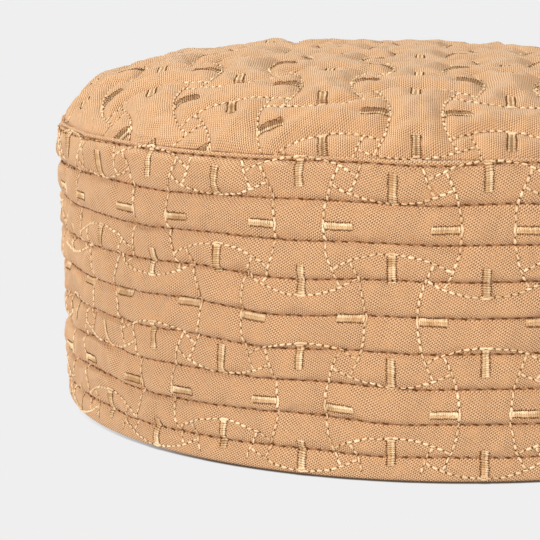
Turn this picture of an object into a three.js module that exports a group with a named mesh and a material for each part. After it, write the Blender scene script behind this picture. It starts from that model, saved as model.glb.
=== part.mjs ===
import * as THREE from 'three';

// A prayer cap: an upright padded wall with stitched ribs, and a padded domed top panel set inside its lip.
// Sizes are in millimetres. The origin is on the cap's axis, in the plane that the hem rests on.

// Side wall
const wallRadius = 94;
const wallRadiusHeight = 60;
const wallLean = 1.73 / 60;
const wallTurns = 72;
const ribShape = [0.15, 0.5, 0.85];

// Stitched lines round the wall, from the hem up, and how far each pulls the padding in
const stitchLines = [
  { height: 5.3, depth: 1.3 },
  { height: 12.5, depth: 1.3 },
  { height: 19.9, depth: 1.3 },
  { height: 27.2, depth: 1.3 },
  { height: 34.7, depth: 1.3 },
  { height: 42.3, depth: 1.3 },
  { height: 49.9, depth: 1.3 },
  { height: 58.1, depth: 1.3 },
  { height: 66.2, depth: 1.0 },
];

// Folded hem below the lowest line: outer radius at each height, then the flat ring that it rests on
const hemRoll = [
  { radius: 89.8, height: 0 },
  { radius: 91.2, height: 0.8 },
  { radius: 91.9, height: 2.4 },
  { radius: 91.8, height: 4.2 },
];
const hemInnerRadius = 87.7;

// Folded lip above the highest line, from its outer face over the top to its inner face
const lipRoll = [
  { radius: 93.6, height: 67.0 },
  { radius: 93.5, height: 67.7 },
  { radius: 93.0, height: 68.2 },
  { radius: 92.4, height: 68.2 },
  { radius: 92.1, height: 67.8 },
];

// Inside of the wall, from the ledge that carries the top panel down to the hem
const ledgeHeight = 65.0;
const insideFace = [
  { radius: 92.1, height: ledgeHeight },
  { radius: 89.9, height: ledgeHeight },
  { radius: 90.1, height: 60 },
  { radius: 88.9, height: 6 },
  { radius: 88.2, height: 1.2 },
];

// Top panel
const panelGap = 0.3;
const panelBase = ledgeHeight + panelGap;
const panelRadius = 91.8;
const panelRise = 17.6;
const panelTilt = -3.2 / 90;
const panelInnerRadius = 89.9;
const panelInnerRise = 14.8;
const domeFlatness = 5.1;
const domeShoulder = 1.6;
const ringSides = 6;
const panelRings = 22;
const panelInnerRings = 5;
const outlineSteps = 600;

// Quilting of the top panel: arcs on a square lattice, between pieces that stand upright and lie flat in turn
const quiltCell = 19.5;
const quiltOrigin = { x: -5.1, y: -79.5 };
const quiltWaist = 0.275;
const quiltArcHalfChord = 0.635;
const quiltArcRise = 0.174;
const quiltDepth = 1.6;
const quiltHalfWidth = 3.6;
const quiltFadeStart = 88;
const quiltFadeEnd = 96;

const quiltArcRadius = (quiltArcHalfChord ** 2 + quiltArcRise ** 2) / (2 * quiltArcRise);
const quiltArcHalfAngle = Math.asin(quiltArcHalfChord / quiltArcRadius);

const clothColour = 0xd3a177;
const clothRoughness = 0.9;

function clothMaterial() {
  return new THREE.MeshStandardMaterial({ color: clothColour, roughness: clothRoughness, metalness: 0 });
}

function crestRadius(height) {
  return wallRadius + wallLean * (height - wallRadiusHeight);
}

// Outer face of the ribs, from the lowest stitched line to the highest
function ribOutline() {
  const points = [];
  stitchLines.forEach((line, index) => {
    points.push({ radius: crestRadius(line.height) - line.depth, height: line.height });
    const next = stitchLines[index + 1];
    if (!next) {
      return;
    }
    for (const share of ribShape) {
      const height = THREE.MathUtils.lerp(line.height, next.height, share);
      const depth = THREE.MathUtils.lerp(line.depth, next.depth, share);
      const puff = Math.sqrt(1 - (2 * share - 1) ** 2);
      points.push({ radius: crestRadius(height) - depth * (1 - puff), height });
    }
  });
  return points;
}

function sideBand() {
  const foot = { radius: hemInnerRadius, height: 0 };
  const outline = [foot, ...hemRoll, ...ribOutline(), ...lipRoll, ...insideFace, foot];
  const profile = outline.map((point) => new THREE.Vector2(point.radius, point.height));
  const geometry = new THREE.LatheGeometry(profile, wallTurns);
  geometry.rotateX(Math.PI / 2);
  const mesh = new THREE.Mesh(geometry, clothMaterial());
  mesh.name = 'side_band';
  return mesh;
}

// Outline of a dome of radius 1 and rise 1, from the middle to the rim
function domeOutline(share) {
  const turn = share * Math.PI / 2;
  return {
    reach: Math.sin(turn) ** (2 / domeFlatness),
    lift: Math.max(0, Math.cos(turn)) ** (2 / domeShoulder),
  };
}

// Points spaced evenly along a dome's outline, with the cloth length from the middle and the outward normal
function evenDomeStations(radius, rise, count) {
  const fine = [];
  for (let step = 0; step <= outlineSteps; step += 1) {
    const { reach, lift } = domeOutline(step / outlineSteps);
    const point = new THREE.Vector2(radius * reach, lift);
    const last = fine[step - 1];
    const stride = last ? Math.hypot(point.x - last.point.x, rise * (point.y - last.point.y)) : 0;
    fine.push({ point, length: last ? last.length + stride : 0 });
  }
  const whole = fine[outlineSteps].length;
  const stations = [];
  for (let ring = 1; ring <= count; ring += 1) {
    const length = whole * ring / count;
    const upper = Math.max(1, fine.findIndex((entry) => entry.length >= length - 1e-9));
    const [a, b] = [fine[upper - 1], fine[upper]];
    const share = (length - a.length) / (b.length - a.length);
    const run = b.point.x - a.point.x;
    const fall = rise * (a.point.y - b.point.y);
    stations.push({
      length,
      radius: THREE.MathUtils.lerp(a.point.x, b.point.x, share),
      lift: THREE.MathUtils.lerp(a.point.y, b.point.y, share),
      normal: new THREE.Vector2(fall, run).normalize(),
    });
  }
  return stations;
}

// Distance to the arc that crosses one edge of the lattice; along and across are measured from a node
function arcDistance(along, across, curvesToNode) {
  const side = curvesToNode ? -1 : 1;
  const centre = curvesToNode ? quiltWaist + quiltArcRadius : 1 - quiltWaist - quiltArcRadius;
  const dx = (along - centre) * side;
  const dy = Math.abs(across);
  if (Math.atan2(dy, dx) <= quiltArcHalfAngle) {
    return Math.abs(Math.hypot(dx, dy) - quiltArcRadius);
  }
  const endX = quiltArcRadius * Math.cos(quiltArcHalfAngle);
  return Math.hypot(dx - endX, dy - quiltArcHalfChord);
}

// Distance from a point on the panel's cloth to the nearest quilting line
function quiltDistance(u, v) {
  const a = (u - quiltOrigin.x) / quiltCell;
  const b = (v - quiltOrigin.y) / quiltCell;
  let nearest = Infinity;
  for (let i = Math.floor(a) - 1; i <= Math.floor(a) + 2; i += 1) {
    for (let j = Math.floor(b) - 1; j <= Math.floor(b) + 2; j += 1) {
      const upright = (i + j) % 2 === 0;
      nearest = Math.min(nearest, arcDistance(a - i, b - j, upright));
      nearest = Math.min(nearest, arcDistance(b - j, a - i, !upright));
    }
  }
  return nearest * quiltCell;
}

function quiltSink(u, v, length) {
  const groove = Math.exp(-((quiltDistance(u, v) / quiltHalfWidth) ** 2));
  const fade = 1 - THREE.MathUtils.smoothstep(length, quiltFadeStart, quiltFadeEnd);
  return quiltDepth * groove * fade;
}

// One ring of points on a dome; shape gives its rise and says whether its face is quilted
function domeRing(station, count, shape) {
  const points = [];
  for (let turn = 0; turn < count; turn += 1) {
    const angle = turn * 2 * Math.PI / count;
    const [c, s] = [Math.cos(angle), Math.sin(angle)];
    const sink = shape.quilted ? quiltSink(station.length * c, station.length * s, station.length) : 0;
    const radius = station.radius - sink * station.normal.x;
    const rise = shape.rise + panelTilt * station.radius * c;
    points.push([radius * c, radius * s, panelBase + rise * station.lift - sink * station.normal.y]);
  }
  return points;
}

// Faces between a ring of count points and the next one in, which has sides points fewer
function fanRing(outer, inner, count, sides) {
  const faces = [];
  const perSide = count / sides;
  const innerCount = Math.max(1, count - sides);
  for (let side = 0; side < sides; side += 1) {
    for (let step = 0; step < perSide; step += 1) {
      const a = outer + side * perSide + step;
      const b = outer + (side * perSide + step + 1) % count;
      const c = inner + (side * (perSide - 1) + step) % innerCount;
      faces.push(c, a, b);
      if (step + 1 < perSide) {
        faces.push(c, b, inner + (side * (perSide - 1) + step + 1) % innerCount);
      }
    }
  }
  return faces;
}

// Faces between two rings of the same count, the first one above or outside the second
function stripRing(upper, lower, count) {
  const faces = [];
  for (let turn = 0; turn < count; turn += 1) {
    const next = (turn + 1) % count;
    faces.push(upper + turn, lower + turn, lower + next);
    faces.push(upper + turn, lower + next, upper + next);
  }
  return faces;
}

// The top face has six more points on each ring than on the one inside it; the underside keeps the rim's count
function crown() {
  const positions = [[0, 0, panelBase + panelRise - quiltSink(0, 0, 0)]];
  const faces = [];
  let inner = 0;
  evenDomeStations(panelRadius, panelRise, panelRings).forEach((station, index) => {
    const count = ringSides * (index + 1);
    const outer = positions.length;
    positions.push(...domeRing(station, count, { rise: panelRise, quilted: true }));
    faces.push(...fanRing(outer, inner, count, ringSides));
    inner = outer;
  });
  const rimCount = ringSides * panelRings;
  let upper = inner;
  for (const station of evenDomeStations(panelInnerRadius, panelInnerRise, panelInnerRings).reverse()) {
    const lower = positions.length;
    positions.push(...domeRing(station, rimCount, { rise: panelInnerRise, quilted: false }));
    faces.push(...stripRing(upper, lower, rimCount));
    upper = lower;
  }
  const middle = positions.length;
  positions.push([0, 0, panelBase + panelInnerRise]);
  for (let turn = 0; turn < rimCount; turn += 1) {
    faces.push(middle, upper + (turn + 1) % rimCount, upper + turn);
  }
  const geometry = new THREE.BufferGeometry();
  geometry.setAttribute('position', new THREE.Float32BufferAttribute(positions.flat(), 3));
  geometry.setIndex(faces);
  geometry.computeVertexNormals();
  const mesh = new THREE.Mesh(geometry, clothMaterial());
  mesh.name = 'crown';
  return mesh;
}

const cap = new THREE.Group();
cap.add(sideBand());
cap.add(crown());

export default cap;
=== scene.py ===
"""A prayer cap: a padded wall with stitched ribs, a quilted top panel, and pale gold embroidery on both."""

import math

import bmesh
import bpy
import numpy as np
from bpy.props import FloatProperty, FloatVectorProperty, IntProperty, PointerProperty
from mathutils import Matrix, Vector
from mathutils.bvhtree import BVHTree


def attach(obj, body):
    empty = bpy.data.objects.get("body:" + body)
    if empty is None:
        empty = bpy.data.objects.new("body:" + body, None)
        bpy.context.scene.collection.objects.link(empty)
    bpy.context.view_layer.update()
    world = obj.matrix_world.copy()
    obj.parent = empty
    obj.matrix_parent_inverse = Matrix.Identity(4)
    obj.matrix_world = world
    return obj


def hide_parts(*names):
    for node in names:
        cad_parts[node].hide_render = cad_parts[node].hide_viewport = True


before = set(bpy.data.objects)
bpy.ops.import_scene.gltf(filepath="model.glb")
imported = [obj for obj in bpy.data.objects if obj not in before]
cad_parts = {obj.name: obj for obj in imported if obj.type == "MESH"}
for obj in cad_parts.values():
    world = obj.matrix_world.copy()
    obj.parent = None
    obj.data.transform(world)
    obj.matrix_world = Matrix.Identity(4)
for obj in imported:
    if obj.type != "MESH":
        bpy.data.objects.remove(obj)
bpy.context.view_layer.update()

bl_info = {
    "name": "Prayer Cap",
    "version": (1, 0, 0),
    "blender": (4, 5, 0),
    "location": "View3D > Sidebar > Prayer Cap",
    "description": "Builds a quilted and embroidered prayer cap around its packed solids",
    "category": "Add Mesh",
}

MM = 0.001
BODY = "root"
WALL_NODE = "side_band"
TOP_NODE = "crown"
LAST_CLOTH_FRAME = 20
MERGE_DISTANCE = 0.01 * MM

# Stitched lines round the wall, from the hem up, and how far each pulls the padding in, in millimetres
SEAM_HEIGHTS = (5.3, 12.5, 19.9, 27.2, 34.7, 42.3, 49.9, 58.1, 66.2)
SEAM_DEPTHS = (1.3, 1.3, 1.3, 1.3, 1.3, 1.3, 1.3, 1.3, 1.5)
# Shares of a rib's height at which the mesh has a row, closer together beside the stitches
RIB_ROWS = (0, 0.05, 0.16, 0.36, 0.64, 0.84, 0.95)
# Radius and height, in millimetres, of points of the wall's section: the folded hem from its resting ring
# up, the folded lip over the top, and the ledge and the inside face below it
HEM_ROLL = ((89.6, 0.0), (91.0, 0.05), (91.6, 0.4), (91.85, 1.1), (91.95, 2.4), (91.7, 4.3))
LIP_ROLL = ((92.9, 66.5), (92.8, 66.75), (92.55, 67.05), (92.25, 67.15), (91.95, 67.0), (91.8, 66.6))
LEDGE = ((91.6, 65.2), (91.4, 65.0), (89.6, 65.0), (89.4, 64.6))
INSIDE_FACE = ((89.2, 40.0), (88.9, 6.0), (88.2, 1.2), (87.9, 0.1))
LIP_HEIGHT = 67.15 * MM
# The angle over which the lip's rise at the left dies away
RISE_SPREAD = math.radians(24)

# How far outside the wall and above the top the rays start that find the cloth, in millimetres
WALL_CLEARANCE = 8
TOP_CLEARANCE = 6
# How far those rays reach
RAY_LENGTH = 20 * MM

# The embroidery's lattice, in cells: one arc crosses each edge between two nodes, a waist from one of them
WAIST = 0.275
ARC_HALF_CHORD = 0.635
ARC_RISE = 0.174
ARC_RADIUS = (ARC_HALF_CHORD**2 + ARC_RISE**2) / (2 * ARC_RISE)
ARC_HALF_ANGLE = math.asin(ARC_HALF_CHORD / ARC_RADIUS)
BAR_REACH = 0.3
# How far a bar's needle holes lie beyond its threads' ends, as a share of a thread
HOLE_SHARE = 0.05


def length_property(name, millimetres, description):
    """A length, its default given in millimetres."""
    return FloatProperty(name=name, description=description, default=millimetres * MM, unit="LENGTH")


def angle_property(name, degrees, description):
    """An angle, its default given in degrees."""
    return FloatProperty(name=name, description=description, default=math.radians(degrees), unit="ROTATION")


def number_property(name, value, description):
    """A number that has no unit."""
    return FloatProperty(name=name, description=description, default=value)


def count_property(name, value, description):
    """A whole number."""
    return IntProperty(name=name, description=description, default=value)


def colour_property(name, value, description):
    """A colour as its red, green and blue."""
    return FloatVectorProperty(name=name, description=description, default=value, subtype="COLOR")


class CapWall(bpy.types.PropertyGroup):
    """Sizes of the upright wall"""

    radius: length_property("Radius", 94, "Radius of the rib crests")
    radius_height: length_property("Radius Height", 60, "Height at which the radius is measured")
    lean: number_property("Lean", 1.73 / 60, "Outward lean for each unit of height")
    turns: count_property("Turns", 324, "Mesh steps round the wall")
    columns: count_property("Columns", 30, "Embroidery cells round the wall")
    row_height: length_property("Row Height", 19.1, "Height of an embroidery cell")
    first_angle: angle_property("First Angle", -18.03, "Angle of the first upright piece from the front")
    first_height: length_property("First Height", 53.04, "Height of the first upright piece")
    left_rise: length_property("Left Rise", 0.9, "How much higher the lip stands at the cap's left")
    rise_angle: angle_property("Rise Angle", -79, "Angle of that place from the front")
    crease: length_property("Crease", 0.4, "Depth of the tight crease at each stitched line")
    pucker: length_property("Pucker", 0.16, "Height of the puckers beside the stitches")
    arc_sink: length_property("Arc Sink", 0.32, "How far the running stitches pull the cloth in")


class CapTop(bpy.types.PropertyGroup):
    """Sizes of the top panel"""

    base: length_property("Base", 65.3, "Height of its edge")
    radius: length_property("Radius", 91.3, "Radius of its edge")
    rise: length_property("Rise", 17.6, "Height of the dome")
    tilt: number_property("Tilt", -3.2 / 90, "Fall of the dome towards +X")
    inner_radius: length_property("Inner Radius", 89.4, "Radius inside the edge")
    inner_rise: length_property("Inner Rise", 14.8, "Height of the underside's dome")
    flatness: number_property("Flatness", 5.1, "How flat the dome's middle is")
    shoulder: number_property("Shoulder", 1.6, "How round the dome's edge is")
    steps: count_property("Steps", 132, "Mesh steps across the panel")
    cell: length_property("Cell", 19.5, "Size of an embroidery cell")
    cell_x: length_property("Cell X", -5.1, "Place of an upright piece along X")
    cell_y: length_property("Cell Y", -79.5, "Place of an upright piece along Y")
    ease: length_property("Ease", 1.8, "How far the embroidery is drawn out towards the edge")
    quilt_depth: length_property("Quilt Depth", 1.9, "How far the embroidery pulls the padding in")
    quilt_width: length_property("Quilt Width", 2.6, "Distance over which the padding rises beside it")
    crease: length_property("Crease", 0.6, "Depth of the tight crease at the embroidery")
    bar_sink: length_property("Bar Sink", 0.25, "Depth of the trough under each satin bar")
    swell: length_property("Swell", 0.9, "How far the padding swells over the edge")


class CapThread(bpy.types.PropertyGroup):
    """Sizes of the stitches"""

    stitch_pitch: length_property("Stitch Pitch", 1.65, "Length of a running stitch")
    stitch_gap: length_property("Stitch Gap", 0.28, "Gap between running stitches on the wall")
    top_gap: length_property("Top Gap", 0.55, "Gap between running stitches on the top panel")
    stitch_width: length_property("Stitch Width", 0.54, "Width of the embroidery thread")
    bar_length: length_property("Bar Length", 5.7, "Length of a satin bar")
    bar_width: length_property("Bar Width", 1.65, "Width of a satin bar")
    bar_threads: count_property("Bar Threads", 12, "Threads in a satin bar")
    head_length: length_property("Head Length", 2.0, "Length of the stitches across a bar's head")
    seam_pitch: length_property("Seam Pitch", 2.72, "Length of a quilting stitch")
    seam_width: length_property("Seam Width", 0.34, "Width of the quilting thread")


class CapPadding(bpy.types.PropertyGroup):
    """How the padding swells"""

    pressure: number_property("Pressure", 4.0, "Air pressure in the padding")
    wall_growth: number_property("Wall Growth", 0.05, "How much larger the wall's cloth is than its shape")
    top_growth: number_property("Top Growth", 0.028, "How much larger the top's cloth is than its shape")
    stiffness: number_property("Stiffness", 0.5, "Resistance of the cloth to stretch")
    bending: number_property("Bending", 0.00001, "Resistance of the cloth to bending")
    damping: number_property("Damping", 0.01, "Damping of the cloth's stretch")
    mass: number_property("Mass", 0.0001, "Mass of each of the cloth's points")
    wall_limit: length_property("Wall Limit", 0.7, "Furthest that the wall may swell")
    top_limit: length_property("Top Limit", 1.2, "Furthest that the top may swell")


class CapColours(bpy.types.PropertyGroup):
    """Colours of the cap and its stage"""

    cloth: colour_property("Cloth", (0.593, 0.309, 0.14), "Tan cotton")
    # Painted shade in the gaps between the cloth's threads
    gap: colour_property("Gap", (0.15, 0.055, 0.011), "Brown between the cloth's threads")
    # Painted highlight on the tops of the cloth's threads
    pale: colour_property("Pale", (0.86, 0.60, 0.375), "Pale tops of the cloth's threads")
    # Painted shade, reddish brown, deep in the creases
    crease: colour_property("Crease", (0.14, 0.048, 0.012), "Reddish brown deep in the creases")
    thread: colour_property("Thread", (0.97, 0.735, 0.46), "Pale gold embroidery thread")
    # Painted shade: the thread as it looks lying low, out of the light
    thread_in_painted_shade: colour_property("Dull Thread", (0.70, 0.425, 0.205), "The same thread where it lies low")
    # Painted shade in the needle holes
    needle: colour_property("Needle Holes", (0.115, 0.042, 0.009), "Shaded holes between stitches")
    stage: colour_property("Stage", (0.863, 0.863, 0.863), "Pale floor and surroundings")


def share_along(value, start, width):
    """How far a value is past a start, as a share of a width, held between 0 and 1."""
    return np.clip((value - start) / width, 0, 1)


def eased(share):
    """A share that starts and ends gently."""
    return 3 * share**2 - 2 * share**3


def bell(distance, width):
    """1 at no distance, fading smoothly to nothing over about two widths."""
    return np.exp(-((distance / width) ** 2))


def unit_rows(rows):
    """The rows of an array, each made one long."""
    return rows / np.linalg.norm(rows, axis=1)[:, None]


def cell_width():
    """Width of an embroidery cell round the wall, at the crest radius."""
    wall = bpy.context.scene.cap_wall
    return 2 * math.pi * wall.radius / wall.columns


def crest_radius(height):
    """Radius of the rib crests at a height, in metres."""
    wall = bpy.context.scene.cap_wall
    return wall.radius + wall.lean * (height - wall.radius_height)


def edge_distances(along, across, curves_to_node):
    """Distances in cells to the arc and bar on one edge of the lattice, at places seen from its node."""
    side = np.where(curves_to_node, -1.0, 1.0)
    centre = np.where(curves_to_node, WAIST + ARC_RADIUS, 1 - WAIST - ARC_RADIUS)
    dx = (along - centre) * side
    dy = np.abs(across)
    on_arc = np.arctan2(dy, dx) <= ARC_HALF_ANGLE
    to_end = np.hypot(dx - ARC_RADIUS * math.cos(ARC_HALF_ANGLE), dy - ARC_HALF_CHORD)
    to_arc = np.where(on_arc, np.abs(np.hypot(dx, dy) - ARC_RADIUS), to_end)
    beyond = np.maximum(0, np.maximum(dx - ARC_RADIUS, ARC_RADIUS - BAR_REACH - dx))
    return to_arc, np.hypot(beyond, dy)


def lattice_distances(a, b, cell):
    """Distances from points of the lattice to its nearest arc and its nearest bar, for cells of a size."""
    nearest_arc = np.full(len(a), np.inf)
    nearest_bar = np.full(len(a), np.inf)
    column, row = np.floor(a), np.floor(b)
    for i in range(-1, 3):
        for j in range(-1, 3):
            upright = (column + i + row + j) % 2 == 0
            da, db = a - column - i, b - row - j
            for along, across, curves in ((da, db, upright), (db, da, ~upright)):
                to_arc, to_bar = edge_distances(along, across, curves)
                nearest_arc = np.minimum(nearest_arc, to_arc)
                nearest_bar = np.minimum(nearest_bar, to_bar)
    return nearest_arc * cell, nearest_bar * cell


def lattice_arcs(columns, rows):
    """Every arc of the lattice: its centre, the way from there to its apex, and the way across."""
    for i in columns:
        for j in rows:
            for step, across in (((1, 0), (0, 1)), ((0, 1), (1, 0))):
                curves_to_node = ((i + j) % 2 == 0) == (step == (1, 0))
                offset = WAIST + ARC_RADIUS if curves_to_node else 1 - WAIST - ARC_RADIUS
                side = -1 if curves_to_node else 1
                centre = np.array((i + step[0] * offset, j + step[1] * offset))
                yield centre, np.array(step) * side, np.array(across)


def dome_outline(radius, rise, samples=900):
    """Outline of a dome from its middle to its edge: cloth length, radius, share of the rise, normal."""
    top = bpy.context.scene.cap_top
    turn = np.linspace(0, math.pi / 2, samples)
    reach = radius * np.sin(turn) ** (2 / top.flatness)
    lift = np.maximum(np.cos(turn), 0) ** (2 / top.shoulder)
    run, fall = np.diff(reach), -rise * np.diff(lift)
    length = np.concatenate(([0], np.cumsum(np.hypot(run, fall))))
    normals = np.stack((fall, run), 1) / np.hypot(run, fall)[:, None]
    normals = np.concatenate((normals[:1], (normals[1:] + normals[:-1]) / 2, normals[-1:]))
    return length, reach, lift, normals


def dome_points(u, v, radius, rise):
    """Places and normals on a dome for points of its flat cloth, whose middle is (0, 0)."""
    top = bpy.context.scene.cap_top
    length, reach, lift, normals = dome_outline(radius, rise)
    flat = np.hypot(u, v)
    direction = np.stack((u, v), 1) / np.maximum(flat, 1e-9)[:, None]
    r = np.interp(flat, length, reach)
    height = (rise + top.tilt * r * direction[:, 0]) * np.interp(flat, length, lift)
    out = np.interp(flat, length, normals[:, 0])
    up = np.interp(flat, length, normals[:, 1])
    places = np.column_stack((r[:, None] * direction, top.base + height))
    return places, unit_rows(np.column_stack((out[:, None] * direction, up)))


def drawn_out(flat):
    """How far the embroidery is drawn out towards the top panel's edge, at a distance from its middle."""
    return bpy.context.scene.cap_top.ease * eased(share_along(flat, 50 * MM, 38 * MM))


def top_distances(u, v):
    """Distances to the nearest arc and bar from points on the top panel's flat cloth."""
    top = bpy.context.scene.cap_top
    flat = np.hypot(u, v)
    share = 1 - drawn_out(flat) / np.maximum(flat, 1 * MM)
    a, b = (u * share - top.cell_x) / top.cell, (v * share - top.cell_y) / top.cell
    return lattice_distances(a, b, top.cell)


def wall_distances(u, v):
    """Distances to the nearest arc and bar from points on the wall's cloth: way round it, and height."""
    wall = bpy.context.scene.cap_wall
    first = wall.first_angle * wall.radius
    width = cell_width()
    return lattice_distances((u - first) / width, (v - wall.first_height) / wall.row_height, width)


def smooth_noise(points, scale, seed):
    """Soft noise from about -1 to 1 at points, as a sum of a few waves in random directions."""
    random = np.random.RandomState(seed)
    total = np.zeros(len(points))
    waves = 12
    for _ in range(waves):
        direction = random.normal(size=3)
        direction /= np.linalg.norm(direction)
        pitch = scale * random.uniform(0.6, 1.6)
        total += np.sin(points @ direction * 2 * math.pi / pitch + random.uniform(0, 2 * math.pi))
    return total / math.sqrt(waves / 2)


def wall_points(u, v):
    """Places on the wall's smooth outer surface for points of its cloth."""
    angle = u / bpy.context.scene.cap_wall.radius
    return np.column_stack((crest_radius(v) * np.sin(angle), -crest_radius(v) * np.cos(angle), v))


def left_rise(angle):
    """How much higher the lip and the top panel's edge stand at an angle from the front."""
    wall = bpy.context.scene.cap_wall
    return wall.left_rise * bell(angle - wall.rise_angle, RISE_SPREAD)


def wall_wave(u, v):
    """How far the wall's cloth strays up or down, as hand-guided stitching does, with its rise at left."""
    strength = share_along(v, 1 * MM, 6 * MM)
    stray = 0.2 * MM * strength * smooth_noise(wall_points(u, v), 34 * MM, 7)
    angle = u / bpy.context.scene.cap_wall.radius
    return stray + left_rise(angle) * eased(share_along(v, 50 * MM, 16 * MM))


def mesh_array(collection, attribute, width):
    """One attribute of a mesh's points, loops or layers as an array with a row for each."""
    values = np.empty(len(collection) * width, np.float32)
    collection.foreach_get(attribute, values)
    values = values.astype(float)
    return values.reshape(-1, width) if width > 1 else values


def point_places(obj):
    """The places of the mesh's points as the rows of an array."""
    return mesh_array(obj.data.vertices, "co", 3)


def loop_points(data):
    """The point that each face corner of a mesh stands on."""
    index = np.empty(len(data.loops), np.int32)
    data.loops.foreach_get("vertex_index", index)
    return index


def move_points(obj, points):
    """Moves the mesh's points to the rows of an array."""
    obj.data.vertices.foreach_set("co", points.astype(np.float32).ravel())
    obj.data.update()


def cloth_coordinates(obj):
    """Each point's place on the flat cloth, in metres, read back from the UV map."""
    found = np.zeros((len(obj.data.vertices), 2))
    found[loop_points(obj.data)] = mesh_array(obj.data.uv_layers["cloth"].data, "uv", 2)
    return found.T


def set_painted_shade_distance(obj, distances):
    """Gives each point its distance from a stitched line, in millimetres, by which the cloth's material
    paints shade in the crease.
    """
    layer = obj.data.attributes.new("crease", "FLOAT", "POINT")
    layer.data.foreach_set("value", distances.astype(np.float32))


def shade_smooth(data):
    """Shades all faces of a mesh smooth."""
    data.polygons.foreach_set("use_smooth", np.ones(len(data.polygons), bool))


def add_object(name, data):
    """A new object in the scene."""
    obj = bpy.data.objects.new(name, data)
    bpy.context.scene.collection.objects.link(obj)
    return obj


def object_from(bm, name, material):
    """A new object from a bmesh, shaded smooth."""
    data = bpy.data.meshes.new(name)
    bm.to_mesh(data)
    bm.free()
    shade_smooth(data)
    data.materials.append(material)
    return add_object(name, data)


def apply_modifiers(obj):
    """Makes the shape that the modifiers give the mesh itself."""
    depsgraph = bpy.context.evaluated_depsgraph_get()
    shaped = bpy.data.meshes.new_from_object(obj.evaluated_get(depsgraph), depsgraph=depsgraph)
    obj.modifiers.clear()
    old = obj.data
    obj.data = shaped
    bpy.data.meshes.remove(old)


def inflate(obj, limit, growth):
    """Lets air pressure swell the padding between its stitched points, and caps how far any point moves."""
    padding = bpy.context.scene.cap_padding
    start = point_places(obj)
    pins = mesh_array(obj.data.attributes["stitched"].data, "value", 1)
    group = obj.vertex_groups.new(name="stitched")
    for weight in np.unique(pins):
        group.add(np.flatnonzero(pins == weight).tolist(), float(weight), "REPLACE")
    modifier = obj.modifiers.new("Padding", "CLOTH")
    cloth = modifier.settings
    cloth.quality = 6
    cloth.mass = padding.mass
    cloth.air_damping = 2
    cloth.tension_stiffness = cloth.compression_stiffness = padding.stiffness
    cloth.shear_stiffness = padding.stiffness / 2
    cloth.tension_damping = cloth.compression_damping = cloth.shear_damping = padding.damping
    cloth.bending_stiffness = padding.bending
    cloth.shrink_min = -growth
    cloth.use_pressure = True
    cloth.uniform_pressure_force = padding.pressure
    cloth.vertex_group_mass = group.name
    cloth.effector_weights.gravity = 0
    modifier.collision_settings.use_collision = False
    modifier.collision_settings.use_self_collision = False
    modifier.point_cache.frame_start = 1
    modifier.point_cache.frame_end = LAST_CLOTH_FRAME
    for step in range(1, LAST_CLOTH_FRAME + 1):
        bpy.context.scene.frame_set(step)
    apply_modifiers(obj)
    bpy.context.scene.frame_set(1)
    move = point_places(obj) - start
    far = np.linalg.norm(move, axis=1)
    move *= np.minimum(1, limit / np.maximum(far, 1e-9))[:, None]
    move_points(obj, start + move)


def pad(obj, limit, growth):
    inflate(obj, limit, growth)
    modifier = obj.modifiers.new("Smooth", "SUBSURF")
    modifier.levels = modifier.render_levels = 1
    apply_modifiers(obj)


def finish_piece(obj, node=None):
    """Parents a piece to what it rides on, and hides the solid that padded cloth stands for."""
    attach(obj, BODY)
    if node:
        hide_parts(node)


class NodeSheet:
    """A material's nodes, with short ways to add and join them."""

    def __init__(self, name):
        self.material = bpy.data.materials.new(name)
        self.material.use_nodes = True
        self.nodes = self.material.node_tree.nodes
        self.links = self.material.node_tree.links
        self.shader = self.nodes["Principled BSDF"]

    def add(self, kind, **settings):
        node = self.nodes.new(kind)
        for key, value in settings.items():
            setattr(node, key, value)
        return node

    def feed(self, socket, value):
        if isinstance(value, bpy.types.NodeSocket):
            self.links.new(value, socket)
        else:
            socket.default_value = value

    def fed(self, node, values, output=0):
        for key, value in values.items():
            self.feed(node.inputs[key], value)
        return node.outputs[output]

    def math(self, operation, a, b=0.0, c=0.0, clamp=False):
        node = self.add("ShaderNodeMath", operation=operation, use_clamp=clamp)
        return self.fed(node, {0: a, 1: b, 2: c})

    def times(self, a, b):
        return self.math("MULTIPLY", a, b)

    def scaled(self, value, gain, offset, clamp=False):
        return self.math("MULTIPLY_ADD", value, gain, offset, clamp)

    def plus(self, a, b):
        return self.math("ADD", a, b)

    def sine(self, value):
        return self.math("SINE", value)

    def dot(self, vector, other):
        node = self.add("ShaderNodeVectorMath", operation="DOT_PRODUCT")
        return self.fed(node, {0: vector, 1: other}, "Value")

    def split(self, vector):
        node = self.add("ShaderNodeSeparateXYZ")
        self.feed(node.inputs[0], vector)
        return node.outputs

    def uv(self, name):
        return self.add("ShaderNodeUVMap", uv_map=name).outputs["UV"]

    def place(self):
        return self.add("ShaderNodeTexCoord").outputs["Object"]

    def ramp(self, value, stops):
        node = self.add("ShaderNodeValToRGB")
        elements = node.color_ramp.elements
        while len(elements) < len(stops):
            elements.new(0.5)
        for element, (position, colour) in zip(elements, stops):
            element.position = position
            element.color = colour
        return self.fed(node, {"Fac": value})

    def smooth_step(self, value, low, high):
        node = self.add("ShaderNodeMapRange", interpolation_type="SMOOTHSTEP")
        return self.fed(node, {"Value": value, "From Min": low, "From Max": high})

    def mix(self, share, a, b, blend="MIX"):
        node = self.add("ShaderNodeMix", data_type="RGBA", blend_type=blend)
        return self.fed(node, {"Factor": share, 6: a, 7: b}, 2)

    def noise(self, vector, scale, detail):
        node = self.add("ShaderNodeTexNoise")
        return self.fed(node, {"Scale": scale, "Detail": detail, "Vector": vector}, "Fac")

    def bump(self, height, distance, strength):
        node = self.add("ShaderNodeBump")
        return self.fed(node, {"Strength": strength, "Distance": distance, "Height": height})

    def finish(self, **values):
        """Feeds the shader's sockets, named with underscores for spaces, and gives the material."""
        self.fed(self.shader, {key.replace("_", " "): value for key, value in values.items()})
        return self.material


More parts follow.
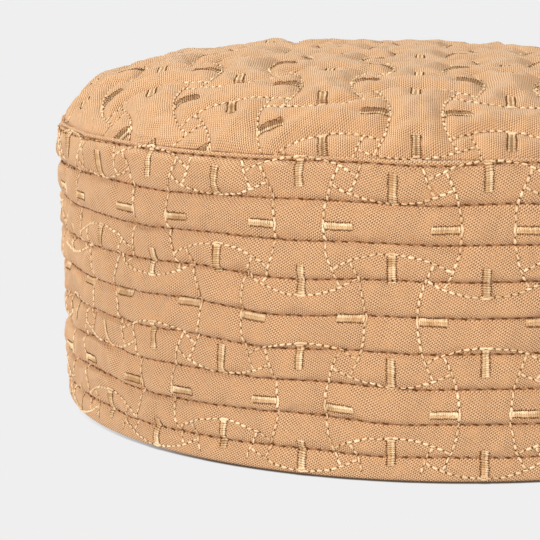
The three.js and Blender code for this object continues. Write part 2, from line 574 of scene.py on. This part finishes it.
def tint(name, gain=1.0):
    """One of the cap's colours as four numbers, made lighter or darker."""
    return (*[min(1.0, channel * gain) for channel in getattr(bpy.context.scene.cap_colours, name)], 1.0)


def cloth_material(name, lean, checks, ribs):
    """Plain-woven tan cotton with painted shade in its creases, and painted shade and highlights in its
    weave; its warp's lean, checks and ribs are given.
    """
    sheet = NodeSheet(name)
    uv = sheet.uv("cloth")
    # Threads for each metre of cloth, along and up it
    warp = sheet.dot(uv, (2146, lean, 0))
    weft = sheet.dot(uv, (-26, -3300, 0))
    slow = sheet.times(sheet.noise(uv, 130, 2), 1.6)
    warp = sheet.times(sheet.plus(warp, slow), math.pi)
    weft = sheet.times(sheet.math("SUBTRACT", weft, slow), math.pi)
    over = sheet.times(sheet.sine(warp), sheet.times(sheet.sine(weft), checks))
    ridge = sheet.times(sheet.sine(sheet.times(warp, 2)), ribs)
    slant = sheet.times(sheet.math("COSINE", sheet.plus(warp, weft)), -0.3)
    clear = sheet.scaled(sheet.noise(uv, 320, 4), 1.9, -0.05)
    raised = sheet.times(sheet.plus(sheet.plus(over, ridge), slant), clear)
    slub = sheet.scaled(sheet.noise(uv, 1500, 2), 0.7, -0.35)
    height = sheet.scaled(sheet.plus(raised, slub), 0.38, 0.5, clamp=True)
    # The ramp paints shade in the gaps between threads and highlights on their raised tops
    woven = sheet.ramp(height, ((0.0, tint("gap")), (0.5, tint("cloth")), (1.0, tint("pale"))))
    blotch = sheet.times(sheet.noise(uv, 45, 4), 0.18)
    worn = sheet.mix(blotch, woven, tint("cloth", 1.45))
    # Painted shade: the cloth turns crease brown, in patches, near the stitched lines and below the lip's
    # edge
    seam = sheet.add("ShaderNodeAttribute", attribute_name="crease").outputs["Fac"]
    ragged = sheet.scaled(sheet.noise(uv, 900, 2), -0.5, 0.25)
    depth = sheet.smooth_step(sheet.plus(seam, ragged), 0.26, 0.0)
    patchy_shade = sheet.scaled(sheet.noise(uv, 600, 1), 0.7, 0.35, clamp=True)
    return sheet.finish(
        Base_Color=sheet.mix(sheet.times(depth, patchy_shade), worn, tint("crease")),
        Normal=sheet.bump(height, 0.12 * MM, 1.0),
        Roughness=0.82,
        Specular_IOR_Level=0.2,
        Sheen_Weight=0.3,
        Sheen_Roughness=0.42,
        Sheen_Tint=(1.0, 0.93, 0.85, 1.0),
    )


def thread_material(name, along, roughness, gloss):
    """Thread coloured by its stops from one end to the other, a little different from stitch to stitch."""
    made = bpy.data.materials.get(name)
    if made:
        return made
    sheet = NodeSheet(name)
    stitch = sheet.split(sheet.uv("stitch"))
    place = sheet.place()
    patch = sheet.scaled(sheet.noise(place, 180, 1), 2.4, -0.95)
    tone = sheet.scaled(stitch["Y"], 0.6, patch, clamp=True)
    plain = sheet.ramp(stitch["X"], along)
    low = sheet.mix(1.0, plain, (0.72, 0.6, 0.48, 1), "MULTIPLY")
    return sheet.finish(
        Base_Color=sheet.mix(tone, low, plain),
        Normal=sheet.bump(sheet.noise(place, 9000, 2), 0.03 * MM, 0.6),
        Roughness=roughness,
        Specular_IOR_Level=gloss,
    )


def plain_thread(name, colour, roughness, gloss):
    """Thread of one colour from end to end."""
    return thread_material(name, ((0.0, colour), (1.0, colour)), roughness, gloss)


def satin_material(name, painted_shading):
    """A satin bar's thread with painted light and shade: its own bright colour (1), painted shade (0) or
    deeper painted shadow (below 0) at places from start to end.
    """
    bright, dull, shaded = (np.array(tint(group)) for group in ("thread", "thread_in_painted_shade", "gap"))
    stops = []
    for place, tone in painted_shading:
        colour = dull + (bright - dull) * tone if tone >= 0 else dull + (shaded - dull) * -tone
        stops.append((place, tuple(colour)))
    return thread_material(name, stops, 0.55, 0.25)


def needle_material():
    """The dark shaded cloth down in a needle hole."""
    made = bpy.data.materials.get("needle_mark")
    if made:
        return made
    sheet = NodeSheet("needle_mark")
    patch = sheet.noise(sheet.place(), 2500, 1)
    shade = sheet.mix(patch, tint("needle", 0.6), tint("needle", 2.2))
    return sheet.finish(Base_Color=shade, Roughness=1.0, Specular_IOR_Level=0.05)


def wall_outline():
    """The wall's section, from the hem over the lip to the inside: radius, height, and if stitched."""
    points = [(*point, 1.0) for point in HEM_ROLL]
    seams = list(zip(SEAM_HEIGHTS, SEAM_DEPTHS))
    for (low, low_depth), (high, high_depth) in zip(seams, seams[1:]):
        for share in RIB_ROWS:
            height = low + (high - low) * share
            depth = low_depth + (high_depth - low_depth) * share
            puff = math.sqrt(1 - (2 * share - 1) ** 2)
            crest = crest_radius(height * MM) / MM
            points.append((crest - depth * (1 - 0.9 * puff), height, 0.0 if share else 1.0))
    height, depth = seams[-1]
    points.append((crest_radius(height * MM) / MM - depth, height, 1.0))
    return points + [(*point, 1.0) for point in LIP_ROLL + LEDGE + INSIDE_FACE]


def wall_mesh():
    """The wall as its section spun round the axis, with a UV map of its flat cloth."""
    wall = bpy.context.scene.cap_wall
    bm = bmesh.new()
    stitched = bm.verts.layers.float.new("stitched")
    verts = []
    for radius, height, pinned in wall_outline():
        vert = bm.verts.new((0, -radius * MM, height * MM))
        vert[stitched] = pinned
        verts.append(vert)
    edges = [bm.edges.new(pair) for pair in zip(verts, verts[1:] + verts[:1])]
    bmesh.ops.spin(
        bm,
        geom=verts + edges,
        cent=(0, 0, 0),
        axis=(0, 0, 1),
        dvec=(0, 0, 0),
        angle=2 * math.pi,
        steps=wall.turns,
        use_merge=True,
        use_normal_flip=False,
        use_duplicate=False,
    )
    bmesh.ops.remove_doubles(bm, verts=bm.verts, dist=MERGE_DISTANCE)
    bmesh.ops.recalc_face_normals(bm, faces=bm.faces)
    obj = object_from(bm, "padded_wall", cloth_material("wall_cotton", -580, 1.0, 0.6))
    corners = point_places(obj)[loop_points(obj.data)]
    angle = np.arctan2(corners[:, 0], -corners[:, 1]).reshape(-1, 4)
    behind = np.ptp(angle, axis=1) > math.pi
    angle[behind] = np.where(angle[behind] < 0, angle[behind] + 2 * math.pi, angle[behind])
    reach = np.hypot(corners[:, 0], corners[:, 1])
    uv = np.column_stack((angle.ravel() * wall.radius, corners[:, 2] + np.minimum(0, reach - 91 * MM)))
    obj.data.uv_layers.new(name="cloth").data.foreach_set("uv", uv.astype(np.float32).ravel())
    return obj


def crease_wall(obj):
    """Moves the swollen wall's points: tight creases at the stitches, puckers, and sunk embroidery."""
    wall, thread = bpy.context.scene.cap_wall, bpy.context.scene.cap_thread
    crease_width, pucker_width, arc_width = 0.3 * MM, 1.4 * MM, 0.9 * MM
    bar_width, bar_sink = 1.1 * MM, 0.22 * MM
    rib_depth, foot_height, lip_height, hem_fade = 2.5 * MM, 0.4 * MM, 67.1 * MM, 3 * MM
    points = point_places(obj)
    u, v = cloth_coordinates(obj)
    radius = np.hypot(points[:, 0], points[:, 1])
    outer = (radius > crest_radius(v) - rib_depth) & (v > foot_height) & (v < lip_height)
    lines = np.array(SEAM_HEIGHTS) * MM
    to_seam = np.abs(v[:, None] - lines[None, :]).min(axis=1)
    to_arc, to_bar = wall_distances(u, v)
    phase = u / thread.seam_pitch * 2 * math.pi + 2 * smooth_noise(points, 9 * MM, 4)
    strength = 0.6 + 0.5 * smooth_noise(points, 14 * MM, 3)
    move = -wall.crease * np.exp(-to_seam / crease_width)
    move += wall.pucker * strength * np.sin(phase) * np.exp(-to_seam / pucker_width)
    move -= wall.arc_sink * bell(to_arc, arc_width)
    move -= bar_sink * bell(to_bar, bar_width)
    move += 0.15 * MM * smooth_noise(points, 22 * MM, 5) + 0.07 * MM * smooth_noise(points, 7 * MM, 6)
    move = np.where(outer, move * share_along(v, 0, hem_fade), 0)
    points[:, :2] *= (1 + move / radius)[:, None]
    points[:, 2] += np.where(outer, wall_wave(u, v), 0)
    move_points(obj, points)
    # Distance from the stitched lines, read by the material for painted crease shade
    set_painted_shade_distance(obj, np.where(outer, to_seam / MM, 10))


def top_mesh():
    """The top panel's outer face: a grid rounded to a disc and bent over the dome."""
    top = bpy.context.scene.cap_top
    arc_hold, bar_hold, bar_beyond = 1.1 * MM, 0.9 * MM, 0.7 * MM
    whole = dome_outline(top.radius, top.rise)[0][-1]
    bm = bmesh.new()
    bmesh.ops.create_grid(bm, x_segments=top.steps, y_segments=top.steps, size=1)
    layer = bm.loops.layers.uv.new("cloth")
    stitched = bm.verts.layers.float.new("stitched")
    square = np.array([vert.co for vert in bm.verts])
    x, y = square[:, 0], square[:, 1]
    u = x * np.sqrt(1 - y**2 / 2) * whole
    v = y * np.sqrt(1 - x**2 / 2) * whole
    places, normals = dome_points(u, v, top.radius, top.rise)
    flat = np.hypot(u, v)
    fade = 1 - share_along(flat, 90 * MM, 7 * MM)
    to_arc, to_bar = top_distances(u, v)
    to_line = np.minimum(to_arc, to_bar + bar_beyond)
    sink = top.quilt_depth * fade * np.exp(-to_line / top.quilt_width)
    rising = share_along(flat, whole - 27 * MM, 17 * MM)
    falling = share_along(whole - flat, 0, 1.7 * MM)
    swell = top.swell * eased(rising) * np.sin(falling * math.pi / 2)
    places += normals * (swell - sink)[:, None]
    places[:, 2] += left_rise(np.arctan2(u, -v)) * share_along(flat, 80 * MM, 14 * MM)
    held_at_arc = np.clip(1.5 - to_arc / arc_hold, 0, 1)
    held_at_bar = 0.8 * np.clip(1.5 - to_bar / bar_hold, 0, 1)
    held = np.where(fade < 0.35, 1.0, np.maximum(held_at_arc, held_at_bar)).round(1)
    for vert, place, cu, cv, hold in zip(bm.verts, places, u, v, held):
        vert.co = place
        vert[stitched] = hold
        for loop in vert.link_loops:
            loop[layer].uv = (cu, cv)
    return object_from(bm, "quilted_top", cloth_material("top_cotton", 30, 0.6, 0.8))


def crease_top(obj):
    """Moves the swollen top panel's points: tight valleys along the embroidery, and uneven padding."""
    top = bpy.context.scene.cap_top
    points = point_places(obj)
    normals = mesh_array(obj.data.vertex_normals, "vector", 3)
    u, v = cloth_coordinates(obj)
    fade = 1 - share_along(np.hypot(u, v), 91 * MM, 6 * MM)
    to_arc, to_bar = top_distances(u, v)
    crease_width, bar_width, puff_width = 0.6 * MM, 1.0 * MM, 3 * MM
    move = -top.crease * np.exp(-to_arc / crease_width)
    move -= top.bar_sink * bell(to_bar, bar_width)
    move += 0.3 * MM * smooth_noise(points, 34 * MM, 8) * (1 - np.exp(-to_arc / puff_width))
    move += 0.05 * MM * smooth_noise(points, 8 * MM, 9)
    points += normals * (move * fade)[:, None]
    move_points(obj, points)


def close_top(obj):
    """Turns the top panel's edge in and closes it with a smooth underside."""
    top = bpy.context.scene.cap_top
    bm = bmesh.new()
    bm.from_mesh(obj.data)
    layer = bm.loops.layers.uv["cloth"]
    length, reach, lift, _ = dome_outline(top.inner_radius, top.inner_rise)
    rings = 6
    rim = [edge for edge in bm.edges if edge.is_boundary]
    for ring in range(rings, -1, -1):
        station = length[-1] * ring / rings
        radius = np.interp(station, length, reach)
        share = np.interp(station, length, lift)
        made = bmesh.ops.extrude_edge_only(bm, edges=rim)["geom"]
        verts = [item for item in made if isinstance(item, bmesh.types.BMVert)]
        rim = [item for item in made if isinstance(item, bmesh.types.BMEdge) and item.is_boundary]
        for vert in verts:
            angle = math.atan2(vert.co.y, vert.co.x)
            rise = top.inner_rise + top.tilt * radius * math.cos(angle)
            vert.co = (radius * math.cos(angle), radius * math.sin(angle), top.base + rise * share)
            if ring == 0:
                vert.co = (0, 0, top.base + top.inner_rise)
            for loop in vert.link_loops:
                loop[layer].uv = vert.co.xy
    bmesh.ops.remove_doubles(bm, verts=verts, dist=MERGE_DISTANCE)
    bmesh.ops.recalc_face_normals(bm, faces=bm.faces)
    bm.to_mesh(obj.data)
    bm.free()
    shade_smooth(obj.data)
    # Painted shade where the top panel tucks under the lip: crease brown below the lip's top edge
    height = point_places(obj)[:, 2]
    set_painted_shade_distance(obj, np.maximum(0, (height - LIP_HEIGHT) / MM))


class Surface:
    """The outer face of a finished piece, found from points of its flat cloth."""

    def __init__(self, name, rays):
        depsgraph = bpy.context.evaluated_depsgraph_get()
        self.tree = BVHTree.FromObject(bpy.data.objects[name], depsgraph)
        self.rays = rays

    def lay(self, uv):
        """Places and normals of the cloth points in uv's rows; one that meets nothing is not a number."""
        starts, ways = self.rays(uv[:, 0], uv[:, 1])
        places = np.full((len(uv), 3), np.nan)
        normals = np.full((len(uv), 3), np.nan)
        for row, (start, way) in enumerate(zip(starts, ways)):
            place, normal, _, _ = self.tree.ray_cast(Vector(start), Vector(way), RAY_LENGTH)
            if place is not None:
                places[row] = place
                normals[row] = normal
        return places, normals


def wall_rays(u, v):
    """Rays that meet the wall from outside at a length round it and a height."""
    starts = wall_points(u, v)
    out = unit_rows(starts * np.array((1, 1, 0)))
    starts += out * WALL_CLEARANCE * MM
    starts[:, 2] += wall_wave(u, v)
    return starts, -out


def top_rays(u, v):
    """Rays that meet the top panel square on, at places of its embroidery."""
    top = bpy.context.scene.cap_top
    flat = np.hypot(u, v)
    share = 1 + drawn_out(flat + drawn_out(flat)) / np.maximum(flat, 1 * MM)
    places, normals = dome_points(u * share, v * share, top.radius, top.rise)
    return places + normals * TOP_CLEARANCE * MM, -normals


def bead(sides, rings):
    """A short thread's points and faces, along X from -1 to 1, with a fuller middle than a sphere's."""
    bm = bmesh.new()
    bmesh.ops.create_uvsphere(bm, u_segments=sides, v_segments=rings, radius=1)
    bmesh.ops.rotate(bm, verts=bm.verts, cent=(0, 0, 0), matrix=Matrix.Rotation(math.pi / 2, 3, "Y"))
    points = np.array([vert.co for vert in bm.verts])
    bm.verts.index_update()
    faces = [[vert.index for vert in face.verts] for face in bm.faces]
    bm.free()
    full = np.hypot(points[:, 1], points[:, 2])
    points[:, 1:] *= np.where(full > 1e-6, np.maximum(full, 1e-6) ** -0.55, 1)[:, None]
    return points, faces


def joined_threads(name, surface, starts, ends, shape, material, seed):
    """One mesh of many short threads, each laid on the surface from its start to its end."""
    points, faces = bead(shape["sides"], shape["rings"])
    stations = [surface.lay(starts + (ends - starts) * share) for share in (0.0, 0.5, 1.0)]
    good = ~np.isnan(np.concatenate([np.column_stack(pair) for pair in stations], 1)).any(axis=1)
    (p0, n0), (p1, n1), (p2, n2) = [(place[good], normal[good]) for place, normal in stations]
    count = len(p0)
    random = np.random.RandomState(seed)
    x = points[:, 0]
    t = (x + 1) / 2
    weights = np.stack(((1 - t) * (1 - 2 * t), 4 * t * (1 - t), t * (2 * t - 1)))
    line = sum(weight[None, :, None] * place[:, None] for weight, place in zip(weights, (p0, p1, p2)))
    normal = unit_rows(n0 + n1 + n2)
    side = unit_rows(np.cross(normal, unit_rows(p2 - p0)))
    size = 1 + shape.get("uneven", 0.12) * random.uniform(-1, 1, count)
    rest = shape["lift"] + shape.get("stray", 0) * random.uniform(-1, 1, count)
    sag = shape.get("dive", 0) * np.abs(x) ** 5 + shape.get("dip", 0) * (1 - x**2) ** 2
    across = points[:, 1][None] * size[:, None] * shape["width"] / 2
    upward = rest[:, None] - sag[None] + points[:, 2][None] * size[:, None] * shape["thick"] / 2
    placed = line + side[:, None] * across[:, :, None] + normal[:, None] * upward[:, :, None]
    data = bpy.data.meshes.new(name)
    flat = np.concatenate([np.array(face) for face in faces])
    loops = (flat[None] + (np.arange(count) * len(points))[:, None]).ravel()
    data.vertices.add(count * len(points))
    data.vertices.foreach_set("co", placed.astype(np.float32).ravel())
    data.loops.add(len(loops))
    data.loops.foreach_set("vertex_index", loops.astype(np.int32))
    sizes = np.tile(np.array([len(face) for face in faces]), count)
    data.polygons.add(len(sizes))
    data.polygons.foreach_set("loop_start", np.concatenate(([0], np.cumsum(sizes)[:-1])).astype(np.int32))
    shade_smooth(data)
    tone = np.repeat(random.uniform(0, 1, count), len(flat))
    uv = np.column_stack((np.tile(t[flat], count), tone))
    data.uv_layers.new(name="stitch").data.foreach_set("uv", uv.astype(np.float32).ravel())
    data.update(calc_edges=True)
    data.validate()
    data.materials.append(material)
    return add_object(name, data)


def arc_stitches(cells, scale, inside, seed, between):
    """Running stitches along every arc, and the holes between them, as rows of flat cloth points."""
    thread = bpy.context.scene.cap_thread
    reach = 2 * ARC_HALF_ANGLE * ARC_RADIUS * scale[0]
    count = round(reach / thread.stitch_pitch)
    gap = between / reach * 2 * ARC_HALF_ANGLE
    slant, uneven_turn, uneven_place = 0.09 * MM, 0.16 * gap, 0.07 * MM
    turns = np.linspace(-ARC_HALF_ANGLE, ARC_HALF_ANGLE, count + 1)
    random = np.random.RandomState(seed)
    starts, ends, holes = [], [], []

    def at(arc, angle, stray):
        centre, out, across = arc
        ways = np.outer(np.cos(angle), out) + np.outer(np.sin(angle), across)
        return (centre + ARC_RADIUS * ways) * scale + ways * stray[:, None]

    for arc in lattice_arcs(*cells):
        turn = turns + random.normal(0, uneven_turn, count + 1)
        stray = random.normal(0, uneven_place, count + 1)
        starts.append(at(arc, turn[:-1] + gap / 2, stray[:-1] - slant))
        ends.append(at(arc, turn[1:] - gap / 2, stray[1:] + slant))
        holes.append(at(arc, turn, stray))
    starts, ends, holes = (np.concatenate(group) for group in (starts, ends, holes))
    kept = inside(starts) & inside(ends)
    return starts[kept], ends[kept], holes[inside(holes)]


def bar_threads(cells, scale, inside, seed, level, breadth):
    """Threads across every level or upright satin bar, its head's stitches, and its needle holes."""
    thread = bpy.context.scene.cap_thread
    pitch = thread.bar_length / thread.bar_threads
    first_thread, uneven_place, uneven_width = 0.5 * MM, 0.15 * MM, 0.1
    head_low, head_high = 0.45 * MM, 0.15 * MM
    along = (np.arange(thread.bar_threads) + 0.5) * pitch + first_thread
    random = np.random.RandomState(seed)
    starts, ends, heads, holes = [], [], [], []
    for centre, out, across in lattice_arcs(*cells):
        if (across[1] == 1) != level:
            continue
        apex = (centre + out * ARC_RADIUS) * scale + across * random.normal(0, uneven_place)
        line = apex - np.outer(along, out)
        uneven = 1 + uneven_width * random.uniform(-1, 1, (len(line), 1))
        half = thread.bar_width / 2 * breadth * uneven
        slant = pitch * 0.25 * out
        start, end = line - across * half - slant, line + across * half + slant
        beside = (end - start) * HOLE_SHARE
        starts.append(start)
        ends.append(end)
        heads += [apex - out * head_low, apex + out * head_high]
        holes += [start - beside + out * pitch / 2, end + beside + out * pitch / 2]
    starts, ends, holes = (np.concatenate(group) for group in (starts, ends, holes))
    heads = np.array(heads)
    kept = inside(starts) & inside(ends)
    way = np.array((0.0, 0.75) if level else (1.0, 0.0))
    reach = way * thread.head_length / 2
    whole = inside(heads - reach) & inside(heads + reach)
    return starts[kept], ends[kept], heads[whole] - reach, heads[whole] + reach, holes[inside(holes)]


def marks_at(middles, way, length):
    """Starts and ends of marks of one length about their middles."""
    return middles - way * length / 2, middles + way * length / 2


def add_threads(name, surface, places, shape, material, seed):
    """A piece of many threads or holes, laid between their two rows of places."""
    finish_piece(joined_threads(name, surface, *places, shape, material, seed))


def embroider(prefix, surface, cells, scale, origin, inside, seed, between, kinds, hole_height):
    """Running stitches, satin bars and the needle holes of both, on one panel."""
    thread = bpy.context.scene.cap_thread
    scale, origin = np.array(scale), np.array(origin)

    def within(uv):
        return inside(uv + origin)

    running_starts, running_ends, holes = arc_stitches(cells, scale, within, seed, between)
    for kind in kinds:
        found = bar_threads(cells, scale, within, seed + 2, kind["level"], kind["breadth"])
        starts, ends, head_starts, head_ends, bar_holes = found
        running_starts = np.concatenate((running_starts, head_starts))
        running_ends = np.concatenate((running_ends, head_ends))
        holes = np.concatenate((holes, bar_holes))
        width = thread.bar_length / thread.bar_threads * kind["cover"]
        shape = dict(sides=4, rings=6, width=width, thick=0.3 * MM, lift=0.44 * MM)
        shape.update(dive=0.6 * MM, dip=0.4 * MM)
        satin = satin_material(kind["name"], kind["painted_shading"])
        places = starts + origin, ends + origin
        add_threads(kind["name"], surface, places, shape, satin, seed + 3)
    shape = dict(sides=5, rings=4, width=thread.stitch_width, thick=0.42 * MM, lift=0.16 * MM)
    shape.update(dive=0.28 * MM, stray=0.06 * MM, uneven=0.28)
    gold = plain_thread("gold_thread", tint("thread"), 0.42, 0.5)
    places = running_starts + origin, running_ends + origin
    add_threads(prefix + "_running_stitch", surface, places, shape, gold, seed + 1)
    # Dark marks that paint the shade in the needle holes
    shape = dict(sides=5, rings=2, width=0.4 * MM, thick=hole_height, lift=hole_height * 0.4, uneven=0.45)
    places = marks_at(holes + origin, np.array((0.8, 0.6)), 0.36 * MM)
    add_threads(prefix + "_needle_holes", surface, places, shape, needle_material(), seed + 4)


class CAP_OT_wall(bpy.types.Operator):
    """Build the padded wall with its hem, ribs and lip"""

    bl_idname = "cap.wall"
    bl_label = "Padded Wall"

    def execute(self, context):
        padding = context.scene.cap_padding
        obj = wall_mesh()
        pad(obj, padding.wall_limit, padding.wall_growth)
        crease_wall(obj)
        finish_piece(obj, WALL_NODE)
        return {"FINISHED"}


class CAP_OT_top(bpy.types.Operator):
    """Build the quilted top panel"""

    bl_idname = "cap.top"
    bl_label = "Quilted Top"

    def execute(self, context):
        padding = context.scene.cap_padding
        obj = top_mesh()
        pad(obj, padding.top_limit, padding.top_growth)
        crease_top(obj)
        close_top(obj)
        finish_piece(obj, TOP_NODE)
        return {"FINISHED"}


class CAP_OT_seam_stitches(bpy.types.Operator):
    """Lay the quilting stitches in the creases between the ribs"""

    bl_idname = "cap.seam_stitches"
    bl_label = "Quilting Stitches"

    def execute(self, context):
        wall, thread = context.scene.cap_wall, context.scene.cap_thread
        surface = Surface("padded_wall", wall_rays)
        around = 2 * math.pi * wall.radius
        count = round(around / thread.seam_pitch)
        random = np.random.RandomState(10)
        middles = []
        for index, height in enumerate(SEAM_HEIGHTS):
            u = (np.arange(count) + 0.37 * index) * around / count + random.normal(0, 0.12 * MM, count)
            v = height * MM + random.normal(0, 0.04 * MM, count)
            middles.append(np.column_stack((u, v)))
        middles = np.concatenate(middles)
        shape = dict(sides=4, rings=4, width=thread.seam_width, thick=0.24 * MM, lift=0.08 * MM)
        shape.update(dive=0.2 * MM, stray=0.05 * MM)
        cotton = plain_thread("quilting_thread", tint("cloth", 0.85), 0.6, 0.3)
        places = marks_at(middles, np.array((1.0, 0.03)), thread.seam_pitch * 0.8)
        add_threads("quilting_stitches", surface, places, shape, cotton, 11)
        # Dark slanted marks that paint the shade in the quilting's needle holes
        shape = dict(sides=4, rings=4, width=0.34 * MM, thick=0.2 * MM, lift=0.14 * MM, uneven=0.35)
        middles = middles + np.array((thread.seam_pitch / 2, 0.0))
        places = marks_at(middles, np.array((math.cos(0.2), -math.sin(0.2))), 1.25 * MM)
        add_threads("quilting_holes", surface, places, shape, needle_material(), 12)
        return {"FINISHED"}


class CAP_OT_wall_embroidery(bpy.types.Operator):
    """Lay the wall's embroidery"""

    bl_idname = "cap.wall_embroidery"
    bl_label = "Wall Embroidery"

    def execute(self, context):
        wall = context.scene.cap_wall
        surface = Surface("padded_wall", wall_rays)
        cells = (range(wall.columns), range(-3, 2))
        scale = (cell_width(), wall.row_height)
        origin = (wall.first_angle * wall.radius, wall.first_height)

        def inside(uv):
            return (uv[:, 1] > 0.7 * MM) & (uv[:, 1] < 67.2 * MM)

        # Painted light along a wall bar's threads: shade at the lower or left end, painted shade in the
        # middle, bright on the upper or right part
        painted_shading = ((0.0, -0.7), (0.1, -0.1), (0.2, 0.35), (0.5, 0.2), (0.64, 1.0), (0.92, 1.0), (1.0, -0.2))
        kinds = (
            {"name": "wall_upright_bars", "level": False, "breadth": 1.05, "cover": 1.25, "painted_shading": painted_shading},
            {"name": "wall_level_bars", "level": True, "breadth": 0.92, "cover": 1.25, "painted_shading": painted_shading},
        )
        gap = context.scene.cap_thread.stitch_gap
        embroider("wall", surface, cells, scale, origin, inside, 31, gap, kinds, 0.16 * MM)
        return {"FINISHED"}


class CAP_OT_top_embroidery(bpy.types.Operator):
    """Lay the top panel's embroidery"""

    bl_idname = "cap.top_embroidery"
    bl_label = "Top Embroidery"

    def execute(self, context):
        top = context.scene.cap_top
        surface = Surface("quilted_top", top_rays)
        cells = (range(-6, 6), range(-2, 11))
        scale = (top.cell, top.cell)
        origin = (top.cell_x, top.cell_y)

        def inside(uv):
            return np.hypot(uv[:, 0], uv[:, 1]) < 95.4 * MM

        # Painted light along an upright top bar's threads: bright rails near both ends, painted shade in
        # the middle and at the ends
        painted_rail_shading = ((0.0, -0.6), (0.1, 0.9), (0.26, 0.9), (0.36, -0.3))
        painted_rail_shading += ((0.62, -0.3), (0.72, 0.9), (0.9, 0.9), (1.0, -0.4))
        # A level top bar's threads: bright on the near half, painted shadow on the far half
        shaded = ((0.0, 0.8), (0.05, 1.0), (0.42, 1.0), (0.5, -0.5), (1.0, -0.5))
        kinds = (
            {"name": "top_upright_bars", "level": False, "breadth": 1.05, "cover": 0.85, "painted_shading": painted_rail_shading},
            {"name": "top_level_bars", "level": True, "breadth": 1.4, "cover": 1.05, "painted_shading": shaded},
        )
        gap = context.scene.cap_thread.top_gap
        embroider("top", surface, cells, scale, origin, inside, 41, gap, kinds, 0.32 * MM)
        return {"FINISHED"}


class CAP_OT_stage(bpy.types.Operator):
    """Set up the pale floor, the soft light and the camera"""

    bl_idname = "cap.stage"
    bl_label = "Stage"

    def execute(self, context):
        settings = context.scene.view_settings
        settings.view_transform = "Standard"
        settings.look = "None"
        add_floor()
        add_light()
        add_camera()
        return {"FINISHED"}


def add_floor():
    """A pale, evenly glowing floor with a painted contact shadow where the hem closes on it, except at the
    cap's bright left.
    """
    half_width, below, contact_reach = 6, 0.02 * MM, 1.0 * MM
    bm = bmesh.new()
    bmesh.ops.create_grid(bm, x_segments=1, y_segments=1, size=half_width)
    bmesh.ops.translate(bm, verts=bm.verts, vec=(0, 0, -below))
    sheet = NodeSheet("pale_floor")
    sheet.nodes.remove(sheet.shader)
    # Painted contact shadow: the glowing floor darkens by ambient occlusion close to the hem, fading out
    # towards -X
    near = sheet.add("ShaderNodeAmbientOcclusion", samples=16)
    near.inputs["Distance"].default_value = contact_reach
    pale = tint("stage")
    painted_contact_shadow = sheet.ramp(near.outputs["AO"], ((0.4, (0.10, 0.07, 0.05, 1)), (0.9, pale)))
    right = sheet.smooth_step(sheet.split(sheet.place())["X"], -90 * MM, -45 * MM)
    glow = sheet.fed(sheet.add("ShaderNodeEmission"), {"Color": sheet.mix(right, pale, painted_contact_shadow)})
    sheet.feed(sheet.nodes["Material Output"].inputs["Surface"], glow)
    object_from(bm, "floor", sheet.material)


def add_light():
    """Three soft lamps: one high behind the cap's left, and one each side of the camera."""
    lamp_size, world_strength = 0.5, 0.05
    world = bpy.data.worlds.new("soft_studio")
    world.use_nodes = True
    background = world.node_tree.nodes["Background"]
    background.inputs["Color"].default_value = tint("stage")
    background.inputs["Strength"].default_value = world_strength
    bpy.context.scene.world = world
    lamps = (
        {"name": "back", "place": (-0.5, 0.5, 1.2), "power": 16.6, "colour": (0.95, 1.0, 0.94)},
        {"name": "right", "place": (0.92, -0.85, 0.5), "power": 11.5, "colour": (1.0, 1.0, 1.0)},
        {"name": "left", "place": (-1.05, -0.75, 0.5), "power": 15.2, "colour": (1.0, 1.0, 1.0)},
    )
    aim = Vector((0, 0, 0.05))
    for row in lamps:
        lamp = bpy.data.lights.new(row["name"], "AREA")
        lamp.energy = row["power"]
        lamp.color = row["colour"]
        lamp.size = lamp_size
        obj = add_object(row["name"], lamp)
        obj.location = row["place"]
        obj.rotation_euler = (aim - Vector(row["place"])).to_track_quat("-Z", "Y").to_euler()


def add_camera():
    """The camera at the photograph's angle: in front of the cap, a little above its top."""
    distance, height = 0.5022, 0.1164
    yaw, pitch, roll = math.radians(-4.808), math.radians(9.920), math.radians(-0.252)
    focal_pixels, frame_pixels, sensor = 2049.3, 540, 36
    level = math.cos(pitch)
    forward = Vector((math.sin(yaw) * level, math.cos(yaw) * level, -math.sin(pitch)))
    right = forward.cross(Vector((0, 0, 1))).normalized()
    up = right.cross(forward)
    turned_right = right * math.cos(roll) + up * math.sin(roll)
    turned_up = up * math.cos(roll) - right * math.sin(roll)
    lens = bpy.data.cameras.new("camera")
    lens.lens = sensor * focal_pixels / frame_pixels
    lens.sensor_width = sensor
    lens.clip_start = 10 * MM
    lens.clip_end = 20
    obj = add_object("camera", lens)
    turn = Matrix((turned_right, turned_up, -forward)).transposed().to_4x4()
    obj.matrix_world = Matrix.Translation((0, -distance, height)) @ turn
    bpy.context.scene.camera = obj


STEPS = (
    CAP_OT_wall,
    CAP_OT_top,
    CAP_OT_seam_stitches,
    CAP_OT_wall_embroidery,
    CAP_OT_top_embroidery,
    CAP_OT_stage,
)
GROUPS = {
    CapWall: "cap_wall",
    CapTop: "cap_top",
    CapThread: "cap_thread",
    CapPadding: "cap_padding",
    CapColours: "cap_colours",
}


class CAP_PT_panel(bpy.types.Panel):
    """Lists the cap's pieces, sizes and colours"""

    bl_label = "Prayer Cap"
    bl_idname = "CAP_PT_panel"
    bl_space_type = "VIEW_3D"
    bl_region_type = "UI"
    bl_category = "Prayer Cap"

    def draw(self, context):
        for step in STEPS:
            self.layout.operator(step.bl_idname)
        for name in GROUPS.values():
            settings = getattr(context.scene, name)
            box = self.layout.box()
            for key in settings.__annotations__:
                box.prop(settings, key)


def register():
    for group, name in GROUPS.items():
        bpy.utils.register_class(group)
        setattr(bpy.types.Scene, name, PointerProperty(type=group))
    for step in STEPS:
        bpy.utils.register_class(step)
    bpy.utils.register_class(CAP_PT_panel)


def unregister():
    bpy.utils.unregister_class(CAP_PT_panel)
    for step in reversed(STEPS):
        bpy.utils.unregister_class(step)
    for group, name in GROUPS.items():
        delattr(bpy.types.Scene, name)
        bpy.utils.unregister_class(group)


def main():
    register()
    for step in STEPS:
        area, name = step.bl_idname.split(".")
        getattr(getattr(bpy.ops, area), name)()


if __name__ == "__main__":
    main()
